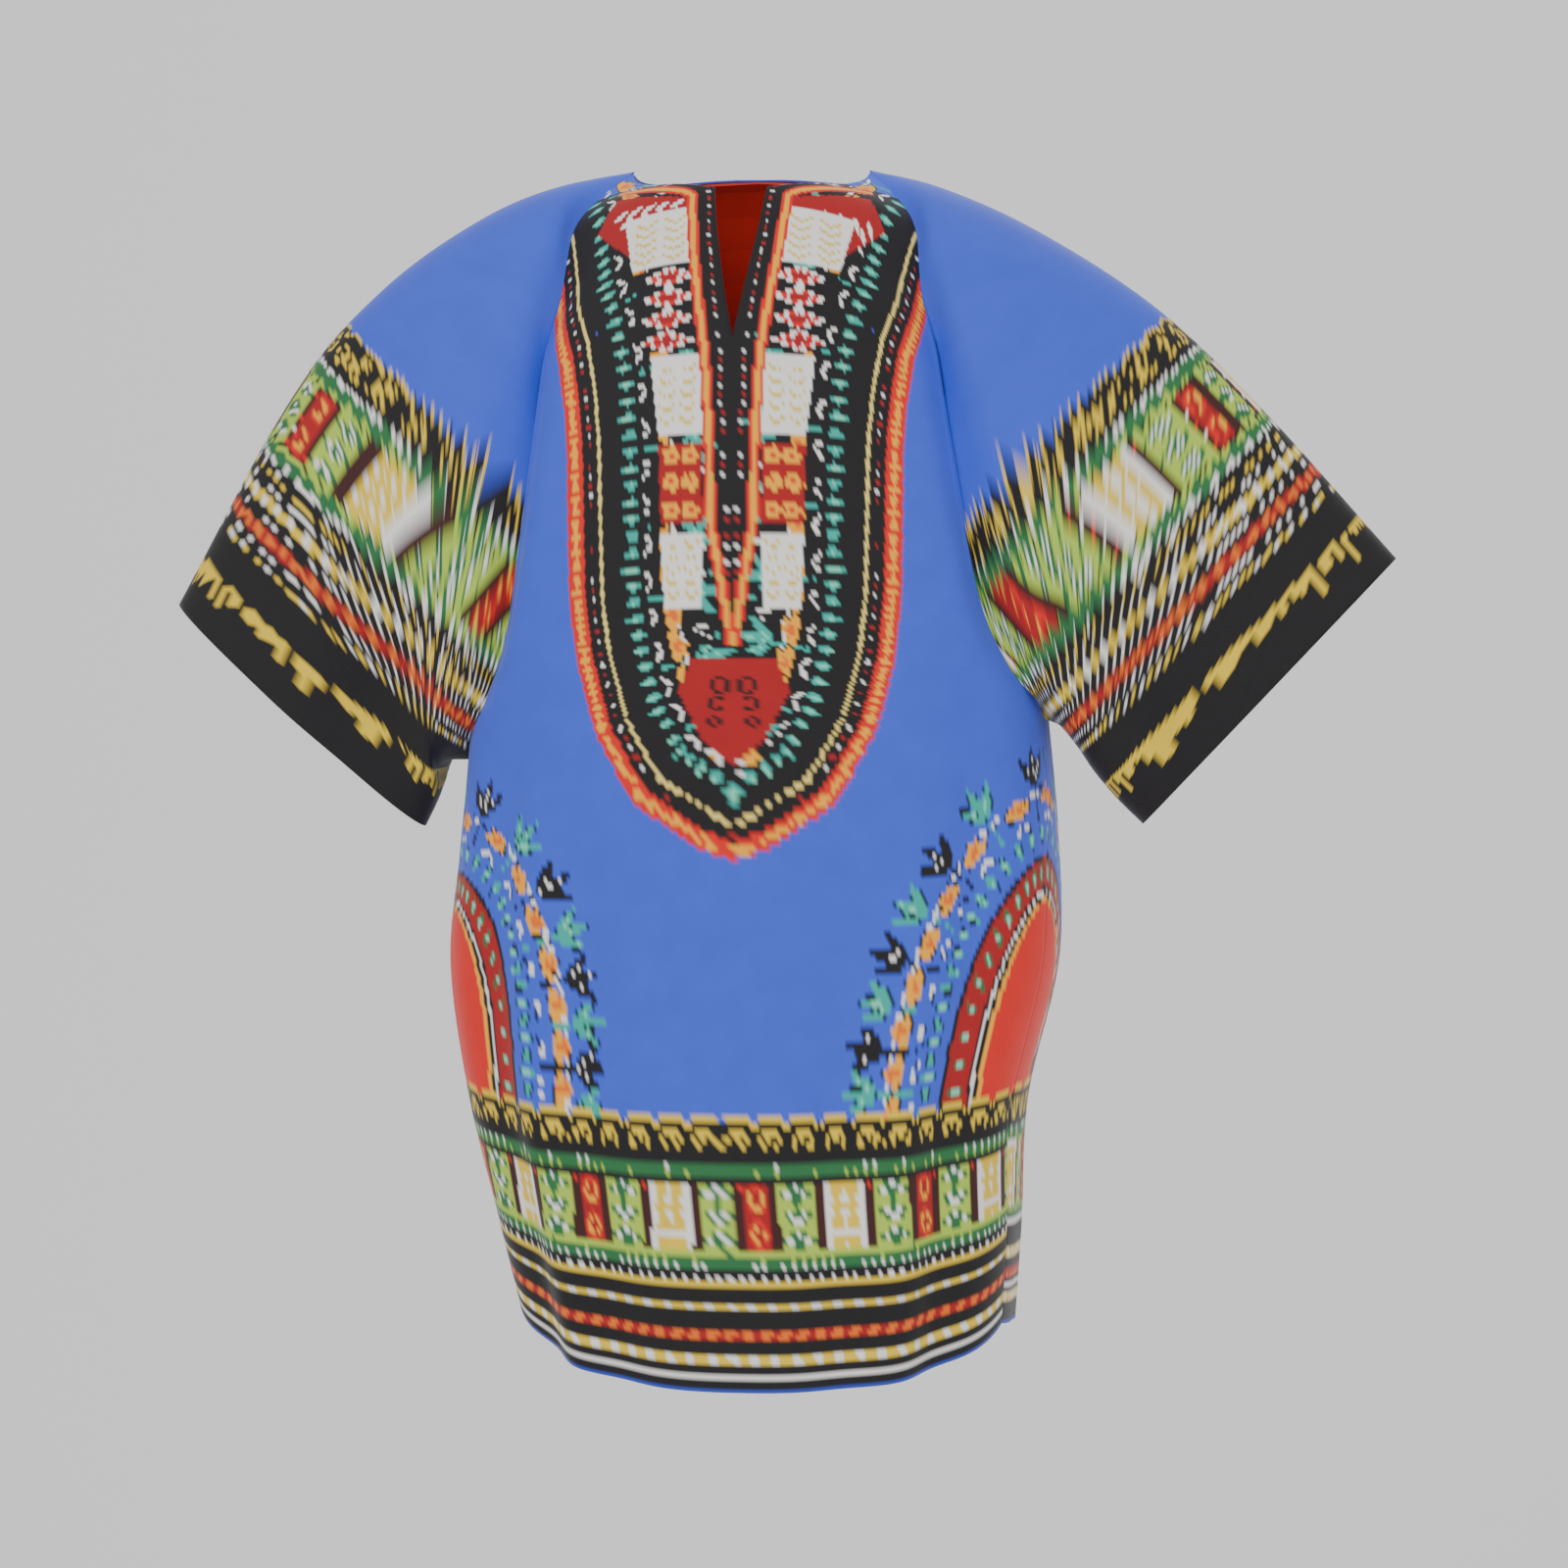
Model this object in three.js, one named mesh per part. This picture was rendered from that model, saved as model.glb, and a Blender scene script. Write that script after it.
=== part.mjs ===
// A short-sleeved, collarless cotton dashiki, worn: a wide tunic of a front, a back and two
// sleeves set in along seams that start at the neck, with a slit below the neck and a facing
// inside the back neck. Millimetres, +Z up, the front faces -Y. The origin is the middle of
// the shoulder line, where the wearer carries the garment.
import * as THREE from "three";

// ---------------------------------------------------------------- driving sizes
const WALL = 1.2; // cloth wall
const FACING_WALL = 1.0;
const SEAM_GAP = 0.3; // between two pieces sewn together
const NECK_HALF_WIDTH = 74; // neck opening, at the shoulder line
const NECK_FRONT = 52; // reach of the neck curve before the shoulder line
const NECK_BACK = 38; // and behind it
const SLIT_HALF_GAP = 16; // the slit stands open at its top
const SLIT_LENGTH = 104; // from the neck edge to its point, down the front
const FACING_HALF_WIDTH = 68;
const FACING_DEPTH_ROW = 4.6; // row at the facing's lower edge
const SHOULDER_START = 0.12; // first row of the front and back, just off the shoulder line
const UNDERARM_ROW = 9; // row where the sleeve seams end and the side seams start

// ---------------------------------------------------------------- body
// One row for each level of the body, from the shoulder line down. zFront and zBack are
// the heights at the centre lines and zEdge at the side, tilt raises the edge at +X and
// lowers it at -X, and shift moves the ring to +X. half, front and back are the ring's half
// width and depths, full is its squareness (2 is an ellipse). armFront and armBack are the
// half widths at the sleeve seams, and seam is how far before the middle the side seam is.
const BODY_ROWS = [
  { zFront: 0, zBack: 0, zEdge: 0, tilt: 0, shift: 0, half: 100, front: 0, back: 0, full: 2, armFront: 74, armBack: 74 },
  { zFront: -4, zBack: -2, zEdge: -17, tilt: 0, shift: 0, half: 126, front: 27, back: 24, full: 2, armFront: 92, armBack: 92 },
  { zFront: -11, zBack: -8, zEdge: -38, tilt: 0, shift: 0, half: 150, front: 50, back: 48, full: 2.1, armFront: 106, armBack: 108 },
  { zFront: -42, zBack: -44, zEdge: -78, tilt: 1, shift: 0, half: 160, front: 70, back: 76, full: 2.3, armFront: 112, armBack: 118 },
  { zFront: -86, zBack: -90, zEdge: -119, tilt: 2, shift: 0, half: 168, front: 88, back: 95, full: 2.4, armFront: 127, armBack: 132 },
  { zFront: -140, zBack: -145, zEdge: -168, tilt: 3, shift: 1, half: 174, front: 101, back: 105, full: 2.4, armFront: 135, armBack: 142 },
  { zFront: -202, zBack: -206, zEdge: -224, tilt: 5, shift: 2, half: 177, front: 110, back: 108, full: 2.4, armFront: 144, armBack: 150 },
  { zFront: -268, zBack: -268, zEdge: -284, tilt: 9, shift: 3, half: 178, front: 115, back: 106, full: 2.4, armFront: 155, armBack: 158 },
  { zFront: -312, zBack: -308, zEdge: -322, tilt: 11, shift: 4, half: 179, front: 117, back: 104, full: 2.4, armFront: 166, armBack: 168 },
  { zFront: -345, zBack: -340, zEdge: -352, tilt: 14, shift: 4, half: 181, front: 118, back: 102, full: 2.4, seam: 18 },
  { zFront: -420, zBack: -414, zEdge: -420, tilt: 8, shift: 4, half: 187, front: 120, back: 100, full: 2.4, seam: 34 },
  { zFront: -498, zBack: -490, zEdge: -494, tilt: 2, shift: 1, half: 190, front: 122, back: 103, full: 2.4, seam: 42 },
  { zFront: -590, zBack: -582, zEdge: -578, tilt: 0, shift: -3, half: 174, front: 126, back: 112, full: 2.4, seam: 42 },
  { zFront: -676, zBack: -667, zEdge: -652, tilt: -3, shift: 4, half: 163, front: 131, back: 121, full: 2.4, seam: 38 },
  { zFront: -743, zBack: -734, zEdge: -707, tilt: -7, shift: 9, half: 154, front: 136, back: 128, full: 2.4, seam: 36 },
];
// Soft troughs (depth below zero) and ridges that hang down the body, one row for each.
// angle is where it lies round the body at its top, in degrees from the middle of the
// front, and lean is how far that has moved by its lower end; from and to are rows.
const BODY_FOLDS = [
  { angle: -30, lean: 6, from: 8, to: 15, width: 9, depth: -6 },
  { angle: 22, lean: -3, from: 8, to: 15, width: 8, depth: -5 },
  { angle: -52, lean: 2, from: 7, to: 15, width: 10, depth: -7 },
  { angle: 50, lean: -4, from: 7, to: 15, width: 10, depth: -7 },
  { angle: -40, lean: 4, from: 9, to: 15, width: 8, depth: 4 },
  { angle: 36, lean: -2, from: 9, to: 15, width: 8, depth: 4 },
  { angle: 104, lean: 6, from: 8, to: 15, width: 10, depth: 5 },
  { angle: -108, lean: -4, from: 8, to: 15, width: 10, depth: 4 },
  { angle: 132, lean: 4, from: 6, to: 15, width: 9, depth: -7 },
  { angle: -136, lean: -5, from: 6, to: 15, width: 10, depth: -8 },
  { angle: 162, lean: 3, from: 5, to: 15, width: 9, depth: -6 },
  { angle: -168, lean: 4, from: 7, to: 15, width: 9, depth: -5 },
];
const BODY_SAMPLES = [
  0.5, 1, 1.5, 2, 2.5, 3, 3.5, 4, 4.6, 5.3, 6, 6.7, 7.4, 8, 8.3, 8.6, 8.8, 9,
  9.7, 10.4, 11.1, 11.8, 12.5, 13.2, 14,
];
const FRONT_COLUMNS = 15; // in each half
const BACK_COLUMNS = 12;

// ---------------------------------------------------------------- sleeves
// Stations from the sleeve seam to the cuff. topX, topZ is the fold along the top of the
// arm and lowX, lowZ the underarm line, with their depths topY and lowY; front and back
// are the depths of the tube before and behind the line between them. Both sleeves are
// written at +X, and the first station is the seam itself.
const SLEEVE_STATIONS = {
  right: [
    { topX: 118, topY: 2, topZ: -11, lowX: 197, lowY: -8, lowZ: -345, front: 70, back: 92, full: 2.7 },
    { topX: 178, topY: 2, topZ: -38, lowX: 207, lowY: -8, lowZ: -358, front: 66, back: 84, full: 2.5 },
    { topX: 252, topY: 0, topZ: -86, lowX: 216, lowY: -13, lowZ: -371, front: 54, back: 66, full: 2.3 },
    { topX: 320, topY: -3, topZ: -151, lowX: 230, lowY: -11, lowZ: -388, front: 44, back: 50, full: 2.2 },
    { topX: 400, topY: -6, topZ: -240, lowX: 246, lowY: -8, lowZ: -404, front: 36, back: 36, full: 2.1 },
  ],
  left: [
    { topX: 116, topY: 2, topZ: -8, lowX: 194, lowY: -8, lowZ: -368, front: 70, back: 92, full: 2.7 },
    { topX: 168, topY: 2, topZ: -28, lowX: 197, lowY: -8, lowZ: -377, front: 66, back: 84, full: 2.5 },
    { topX: 232, topY: 0, topZ: -72, lowX: 196, lowY: -13, lowZ: -384, front: 56, back: 66, full: 2.3 },
    { topX: 290, topY: -3, topZ: -138, lowX: 200, lowY: -11, lowZ: -395, front: 46, back: 50, full: 2.2 },
    { topX: 364, topY: -6, topZ: -270, lowX: 207, lowY: -8, lowZ: -409, front: 36, back: 36, full: 2.1 },
  ],
};
// Troughs and ridges down the sleeves: round is the place round the tube (0 the top, 0.25
// the middle of the front, 0.5 the underarm), from and to are stations.
const SLEEVE_FOLDS = {
  right: [
    { round: 0.33, lean: 0.02, from: 0.6, to: 4.6, width: 0.045, depth: -9 },
    { round: 0.2, lean: 0.05, from: -0.5, to: 3.4, width: 0.05, depth: 6 },
    { round: 0.7, lean: -0.03, from: 0.5, to: 4.5, width: 0.05, depth: -8 },
  ],
  left: [
    { round: 0.31, lean: 0.0, from: 0.4, to: 4.8, width: 0.05, depth: -11 },
    { round: 0.25, lean: 0.0, from: 0.6, to: 5.0, width: 0.04, depth: 7 },
    { round: 0.72, lean: 0.03, from: 0.5, to: 4.5, width: 0.05, depth: -8 },
  ],
};
const SLEEVE_SAMPLES = [0, 0.35, 0.75, 1.25, 1.8, 2.4, 3, 3.6, 4.2, 4.6, 5];
// The cloth is drawn in beside the lower half of the sleeve seams.
const SEAM_VALLEY = { fromRow: 2.5, frontEnd: 8.5, backEnd: 6.5, reach: 20, depth: 9 };

const COLOURS = {
  front: 0x3550d0,
  back: 0x2f49c4,
  sleeve: 0x3d5ae0,
  facing: 0xd8281c,
};

// ---------------------------------------------------------------- curves and tables
// The value of a column at a fractional row, on a smooth curve through the rows.
function column(rows, name, at) {
  const last = rows.length - 1;
  const i = Math.min(Math.floor(at), last - 1);
  const t = at - i;
  const value = (k) => rows[Math.max(0, Math.min(last, k))][name];
  const before = i > 0 ? value(i - 1) : 2 * value(0) - value(1);
  const after = i < last - 1 ? value(i + 2) : 2 * value(last) - value(last - 1);
  const slope0 = (value(i + 1) - before) / 2;
  const slope1 = (after - value(i)) / 2;
  const t2 = t * t;
  const t3 = t2 * t;
  return (2 * t3 - 3 * t2 + 1) * value(i) + (t3 - 2 * t2 + t) * slope0
    + (3 * t2 - 2 * t3) * value(i + 1) + (t3 - t2) * slope1;
}

// A bump that is 1 at 0 and fades to nothing by about 2.
function bump(x) {
  return Math.exp(-x * x);
}

// Rises from 0 to 1 between a and b.
function ramp(a, b, x) {
  return THREE.MathUtils.smoothstep(x, a, b);
}

function signedPower(base, power) {
  return Math.sign(base) * Math.abs(base) ** power;
}

// ---------------------------------------------------------------- the body's surface
function ringAt(row) {
  return {
    half: column(BODY_ROWS, "half", row),
    front: Math.max(0, column(BODY_ROWS, "front", row)),
    back: Math.max(0, column(BODY_ROWS, "back", row)),
    full: column(BODY_ROWS, "full", row),
  };
}

// Angle round the ring at the panel's edge: 0 is the middle of the front, 180 of the back.
function edgeAngle(row, panel) {
  const ring = ringAt(row);
  const seamRows = BODY_ROWS.slice(UNDERARM_ROW);
  const armRows = BODY_ROWS.slice(0, UNDERARM_ROW);
  const seamAngle = (at) => {
    const r = ringAt(at);
    const forward = column(seamRows, "seam", Math.max(0, at - UNDERARM_ROW));
    return Math.acos((forward / r.front) ** (r.full / 2));
  };
  if (row >= UNDERARM_ROW) return seamAngle(row);
  const armAngle = (at) => {
    const r = ringAt(at);
    const x = column(armRows, panel === "front" ? "armFront" : "armBack", at);
    const angle = Math.asin(Math.min(1, (x / r.half) ** (r.full / 2)));
    return panel === "front" ? angle : Math.PI - angle;
  };
  const lastArm = UNDERARM_ROW - 1;
  if (row <= lastArm) return armAngle(row);
  return THREE.MathUtils.lerp(armAngle(lastArm), seamAngle(UNDERARM_ROW), row - lastArm);
}

function foldAt(row, degrees) {
  let depth = 0;
  for (const fold of BODY_FOLDS) {
    const along = (row - fold.from) / (fold.to - fold.from);
    const fade = ramp(fold.from, fold.from + 4, row);
    const middle = fold.angle + fold.lean * along;
    depth += fold.depth * fade * bump((degrees - middle) / fold.width);
  }
  return depth;
}

// A point of the body at a row, at an angle round it in radians, on one side (+1 or -1).
function bodyPoint(row, angle, side, panel) {
  const ring = ringAt(row);
  const power = 2 / ring.full;
  const across = Math.abs(Math.sin(angle)) ** power;
  const along = signedPower(Math.cos(angle), power);
  const x = ring.half * across;
  const y = along > 0 ? -ring.front * along : -ring.back * along;
  const edge = edgeAngle(row, panel);
  const centre = panel === "front" ? 0 : Math.PI;
  const outward = Math.min(1, Math.abs((angle - centre) / (edge - centre)));
  const zCentre = column(BODY_ROWS, panel === "front" ? "zFront" : "zBack", row);
  const zEdge = column(BODY_ROWS, "zEdge", row) + side * column(BODY_ROWS, "tilt", row);
  const shift = column(BODY_ROWS, "shift", row);
  const point = new THREE.Vector3(side * x + shift, y, zCentre + (zEdge - zCentre) * outward ** 2);
  const fold = foldAt(row, side * THREE.MathUtils.radToDeg(angle));
  const toEdge = Math.abs(angle - edge) * ring.half;
  const valley = SEAM_VALLEY.depth * bump(toEdge / SEAM_VALLEY.reach) * seamValley(row, panel);
  const outwards = new THREE.Vector3(side * Math.sin(angle), -Math.cos(angle), 0);
  return point.addScaledVector(outwards, fold - valley);
}

// How much of the valley there is at a row, of the front's seam or the back's.
function seamValley(row, panel) {
  const { fromRow, frontEnd, backEnd } = SEAM_VALLEY;
  const end = panel === "front" ? frontEnd : backEnd;
  return ramp(fromRow, fromRow + 2, row) * (1 - ramp(end - 2, end, row));
}

// Half width of the neck opening or of the slit at a row.
function slitBottomRow() {
  let row = 2;
  let length = 0;
  let previous = bodyPoint(row, 0, 1, "front");
  while (length < SLIT_LENGTH) {
    row += 0.02;
    const next = bodyPoint(row, 0, 1, "front");
    length += next.distanceTo(previous);
    previous = next;
  }
  return row;
}
const SLIT_END_ROW = slitBottomRow();

function frontOpening(row) {
  const reach = Math.min(1, ringAt(row).front / NECK_FRONT);
  const neck = NECK_HALF_WIDTH * Math.sqrt(1 - reach * reach);
  const down = (row - 2) / (SLIT_END_ROW - 2);
  const slit = row >= SLIT_END_ROW ? 0 : SLIT_HALF_GAP * (1 - Math.max(0, down) ** 1.6);
  return Math.max(neck, slit);
}

function backOpening(row) {
  const reach = Math.min(1, ringAt(row).back / NECK_BACK);
  return NECK_HALF_WIDTH * Math.sqrt(1 - reach * reach);
}

// Angle round the ring at a half width x from the centre line.
function angleAtX(row, x, panel) {
  const ring = ringAt(row);
  const angle = Math.asin(Math.min(1, (x / ring.half) ** (ring.full / 2)));
  return panel === "front" ? angle : Math.PI - angle;
}

// ---------------------------------------------------------------- cloth walls
// A sheet holds points and triangles of a piece's middle surface. Points that are given
// the same key are one point.
class Sheet {
  constructor() {
    this.points = [];
    this.faces = [];
    this.keys = new Map();
  }

  point(key, make) {
    if (!this.keys.has(key)) {
      this.keys.set(key, this.points.length);
      this.points.push(make());
    }
    return this.keys.get(key);
  }

  quad(a, b, c, d) {
    this.triangle(a, b, c);
    this.triangle(a, c, d);
  }

  triangle(a, b, c) {
    if (a !== b && b !== c && c !== a) this.faces.push([a, b, c]);
  }

  normals() {
    const normals = this.points.map(() => new THREE.Vector3());
    for (const [a, b, c] of this.faces) {
      const ab = this.points[b].clone().sub(this.points[a]);
      const ac = this.points[c].clone().sub(this.points[a]);
      const normal = ab.cross(ac);
      for (const k of [a, b, c]) normals[k].add(normal);
    }
    return normals.map((normal) => normal.normalize());
  }

  borderEdges() {
    const seen = new Map();
    for (const face of this.faces) {
      for (let k = 0; k < 3; k += 1) {
        const a = face[k];
        const b = face[(k + 1) % 3];
        seen.set(`${a},${b}`, [a, b]);
      }
    }
    return [...seen.values()].filter(([a, b]) => !seen.has(`${b},${a}`));
  }
}

// Where pieces meet, their walls stand on one shared normal, so that the two cut edges
// lie face to face.
function placeKey(point) {
  return [point.x, point.y, point.z].map((value) => value.toFixed(3)).join(" ");
}

function sharedNormals(sheets) {
  const shared = new Map();
  for (const sheet of sheets) {
    const normals = sheet.normals();
    const border = new Set(sheet.borderEdges().flat());
    for (const k of border) {
      const key = placeKey(sheet.points[k]);
      const entry = shared.get(key) ?? { normal: new THREE.Vector3(), pieces: new Set() };
      entry.normal.add(normals[k]);
      entry.pieces.add(sheet);
      shared.set(key, entry);
    }
  }
  return shared;
}

// Gives a sheet its thickness, and draws its sewn edges back by half the seam gap.
function wall(sheet, thickness, shared) {
  const normals = sheet.normals();
  const middle = sheet.points.map((point) => point.clone());
  for (const [a, b] of sheet.borderEdges()) {
    const entryA = shared.get(placeKey(sheet.points[a]));
    const entryB = shared.get(placeKey(sheet.points[b]));
    const sewn = entryA?.pieces.size > 1 && entryB?.pieces.size > 1;
    if (!sewn) continue;
    const run = sheet.points[b].clone().sub(sheet.points[a]);
    for (const [k, entry] of [[a, entryA], [b, entryB]]) {
      const normal = entry.normal.clone().normalize();
      const inwards = normal.clone().cross(run).normalize();
      normals[k] = normal;
      middle[k].addScaledVector(inwards, SEAM_GAP / 2);
    }
  }
  const count = middle.length;
  const positions = new Float32Array(count * 6);
  middle.forEach((point, k) => {
    const outer = point.clone().addScaledVector(normals[k], thickness / 2);
    const inner = point.clone().addScaledVector(normals[k], -thickness / 2);
    outer.toArray(positions, 3 * k);
    inner.toArray(positions, 3 * (count + k));
  });
  const index = [];
  for (const [a, b, c] of sheet.faces) {
    index.push(a, b, c);
    index.push(count + a, count + c, count + b);
  }
  for (const [a, b] of sheet.borderEdges()) {
    index.push(b, a, count + a);
    index.push(b, count + a, count + b);
  }
  const geometry = new THREE.BufferGeometry();
  geometry.setAttribute("position", new THREE.BufferAttribute(positions, 3));
  geometry.setIndex(index);
  geometry.computeVertexNormals();
  return geometry;
}

// ---------------------------------------------------------------- front and back
// Both halves of a panel, from its opening or centre line out to its edge. toPoint turns
// (row, angle, side) into a place.
function panelSheet(rows, columns, panel, opening, edgeAt, toPoint) {
  const sheet = new Sheet();
  for (const side of [-1, 1]) {
    const at = (i, j) => {
      const row = rows[i];
      const gap = opening(row);
      const onCentre = j === 0 && gap < 1e-6;
      const key = onCentre ? `centre ${i}` : `${side} ${i} ${j}`;
      return sheet.point(key, () => {
        const inner = angleAtX(row, gap, panel);
        const angle = THREE.MathUtils.lerp(inner, edgeAt(row), j / columns);
        return toPoint(row, angle, side);
      });
    };
    const facesOut = (side > 0) === (panel === "front");
    for (let i = 0; i < rows.length - 1; i += 1) {
      for (let j = 0; j < columns; j += 1) {
        const corners = [at(i, j), at(i + 1, j), at(i + 1, j + 1), at(i, j + 1)];
        if (!facesOut) corners.reverse();
        sheet.quad(...corners);
      }
    }
  }
  return sheet;
}

// Rows with the openings' own corners put in, where an opening ends.
function rowsWith(corners) {
  const rows = [SHOULDER_START, ...BODY_SAMPLES];
  const near = (a, b) => Math.abs(a - b) < 0.12;
  const kept = rows.filter((row) => Number.isInteger(row) || !corners.some((c) => near(row, c)));
  return [...kept, ...corners].sort((a, b) => a - b);
}

function backNeckRow() {
  let row = 1;
  while (ringAt(row).back < NECK_BACK) row += 0.01;
  return row;
}
const BACK_NECK_ROW = backNeckRow();
// Both panels have the same rows, because the sleeves and the side seams join them.
const ROWS = rowsWith([SLIT_END_ROW, BACK_NECK_ROW]);

function frontSheet() {
  const edge = (row) => edgeAngle(row, "front");
  const place = (row, angle, side) => bodyPoint(row, angle, side, "front");
  return panelSheet(ROWS, FRONT_COLUMNS, "front", frontOpening, edge, place);
}

function backSheet() {
  const edge = (row) => edgeAngle(row, "back");
  const place = (row, angle, side) => bodyPoint(row, angle, side, "back");
  return panelSheet(ROWS, BACK_COLUMNS, "back", backOpening, edge, place);
}

// The facing lies inside the back, on the back's own points moved in.
function facingSheet() {
  const inset = WALL / 2 + SEAM_GAP + FACING_WALL / 2 + 0.3;
  const rows = ROWS.filter((row) => row >= 0.5 && row < FACING_DEPTH_ROW);
  rows.push(FACING_DEPTH_ROW);
  const edge = (row) => {
    const narrow = angleAtX(row, FACING_HALF_WIDTH, "back");
    const seam = edgeAngle(row, "back") + 7 / ringAt(row).half;
    const wide = angleAtX(row, backOpening(row) + 5, "back");
    return Math.min(Math.max(seam, narrow), wide);
  };
  const place = (row, angle, side) => {
    const here = bodyPoint(row, angle, side, "back");
    const down = bodyPoint(row + 0.05, angle, side, "back").sub(here);
    const round = bodyPoint(row, angle - 0.02, side, "back").sub(here);
    const out = down.cross(round).normalize();
    if (out.y + 0.2 * out.z < 0) out.negate();
    return here.addScaledVector(out, -inset);
  };
  return panelSheet(rows, 6, "back", backOpening, edge, place);
}

// ---------------------------------------------------------------- sleeves
// The seam, as places round it: from the top of the shoulder down the front edge to the
// underarm, and up the back edge.
function seamRing(side) {
  const armRows = ROWS.filter((row) => row <= UNDERARM_ROW);
  const frontEdge = armRows.map((row) => bodyPoint(row, edgeAngle(row, "front"), side, "front"));
  const backEdge = armRows.map((row) => bodyPoint(row, edgeAngle(row, "back"), side, "back"));
  const top = new THREE.Vector3(side * NECK_HALF_WIDTH, 0, 0);
  return [top, ...frontEdge, ...backEdge.slice(0, -1).reverse()];
}

// Places round the seam as fractions: 0 at the top, 0.5 at the underarm.
function seamFractions(ring) {
  const half = (ring.length - 1 + 1) / 2;
  const lengths = [0];
  for (let k = 1; k <= ring.length; k += 1) {
    lengths.push(lengths[k - 1] + ring[k % ring.length].distanceTo(ring[k - 1]));
  }
  const toUnderarm = lengths[half];
  const whole = lengths[ring.length];
  return ring.map((_, k) => (k <= half
    ? (0.5 * lengths[k]) / toUnderarm
    : 0.5 + (0.5 * (lengths[k] - toUnderarm)) / (whole - toUnderarm)));
}

// A point of one station's ring, at a place round it.
function stationPoint(station, round, side) {
  const angle = 2 * Math.PI * round;
  const power = 2 / station.full;
  const along = signedPower(Math.cos(angle), power);
  const across = signedPower(Math.sin(angle), power);
  const mix = (top, low) => (top + low) / 2 + (along * (top - low)) / 2;
  const depth = across > 0 ? station.front : station.back;
  return new THREE.Vector3(
    side * mix(station.topX, station.lowX),
    mix(station.topY, station.lowY) - depth * across,
    mix(station.topZ, station.lowZ),
  );
}

function sleevePoint(name, side, ring, fractions, k, at) {
  const stations = SLEEVE_STATIONS[name];
  const round = fractions[k];
  const places = [ring[k], ...stations.map((station) => stationPoint(station, round, side))];
  const rows = places.map((place) => ({ x: place.x, y: place.y, z: place.z }));
  const point = new THREE.Vector3(column(rows, "x", at), column(rows, "y", at), column(rows, "z", at));
  const whole = ring.length;
  const row = ROWS.filter((value) => value <= UNDERARM_ROW)[Math.min(k, whole - k) - 1] ?? 0;
  const seamReach = point.distanceTo(ring[k]);
  const valley = round < 0.46 ? seamDip(row, seamReach) : 0;
  let out = -valley;
  for (const fold of SLEEVE_FOLDS[name]) {
    const fade = ramp(fold.from, fold.from + 1.2, at) * (1 - ramp(fold.to - 0.8, fold.to + 0.6, at));
    const middle = fold.round + fold.lean * (at / 5);
    out += fold.depth * fade * bump((round - middle) / fold.width) * Math.min(1, at);
  }
  const across = Math.sin(2 * Math.PI * round);
  return point.add(new THREE.Vector3(0, -Math.sign(across) * out * Math.min(1, Math.abs(across) * 2), 0));
}

// The seam's own points already lie in the valley, so this only carries it on.
function seamDip(row, reach) {
  return SEAM_VALLEY.depth * 0.6 * bump(reach / (2 * SEAM_VALLEY.reach)) * seamValley(row, "front");
}

function sleeveSheet(name) {
  const side = name === "right" ? 1 : -1;
  const ring = seamRing(side);
  const fractions = seamFractions(ring);
  const sheet = new Sheet();
  const at = (i, k) => {
    const column0 = k % ring.length;
    return sheet.point(`${i} ${column0}`, () => (i === 0
      ? ring[column0].clone()
      : sleevePoint(name, side, ring, fractions, column0, SLEEVE_SAMPLES[i])));
  };
  for (let i = 0; i < SLEEVE_SAMPLES.length - 1; i += 1) {
    for (let k = 0; k < ring.length; k += 1) {
      const corners = [at(i, k), at(i, k + 1), at(i + 1, k + 1), at(i + 1, k)];
      if (side < 0) corners.reverse();
      sheet.quad(...corners);
    }
  }
  return sheet;
}

// ---------------------------------------------------------------- the garment
function clothMaterial(colour) {
  return new THREE.MeshStandardMaterial({ color: colour, roughness: 0.85, metalness: 0 });
}

const sheets = {
  front: frontSheet(),
  back: backSheet(),
  sleeve_right: sleeveSheet("right"),
  sleeve_left: sleeveSheet("left"),
};
const shared = sharedNormals(Object.values(sheets));

const shirt = new THREE.Group();
for (const [name, sheet] of Object.entries(sheets)) {
  const colour = COLOURS[name.split("_")[0]];
  const mesh = new THREE.Mesh(wall(sheet, WALL, shared), clothMaterial(colour));
  mesh.name = name;
  shirt.add(mesh);
}
const facing = new THREE.Mesh(wall(facingSheet(), FACING_WALL, new Map()), clothMaterial(COLOURS.facing));
facing.name = "back_neck_facing";
shirt.add(facing);

export default shirt;
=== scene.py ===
import math
import bmesh
import bpy
import numpy as np
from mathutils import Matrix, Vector


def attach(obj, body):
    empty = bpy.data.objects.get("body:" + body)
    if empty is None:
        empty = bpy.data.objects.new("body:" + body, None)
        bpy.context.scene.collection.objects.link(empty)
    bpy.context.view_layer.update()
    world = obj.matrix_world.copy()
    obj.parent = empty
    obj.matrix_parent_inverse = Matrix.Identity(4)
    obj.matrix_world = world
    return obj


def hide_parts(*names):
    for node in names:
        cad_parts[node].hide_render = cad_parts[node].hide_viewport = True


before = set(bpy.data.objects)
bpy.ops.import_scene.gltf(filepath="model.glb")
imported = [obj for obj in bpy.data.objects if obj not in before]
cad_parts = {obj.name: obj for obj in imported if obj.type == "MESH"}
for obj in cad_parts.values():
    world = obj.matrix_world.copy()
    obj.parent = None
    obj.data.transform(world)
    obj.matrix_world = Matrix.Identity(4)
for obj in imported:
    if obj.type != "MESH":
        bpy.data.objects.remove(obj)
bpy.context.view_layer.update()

# ---------------------------------------------------------------- studio
# A pale seamless sweep of paper, a large soft key light with fills, and a camera a little
# toward the right sleeve and just above the shirt's middle.
STAGE_FLOOR = -1.35
sweep = bmesh.new()
profile = [(-6.0, STAGE_FLOOR), (1.6, STAGE_FLOOR)]
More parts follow.
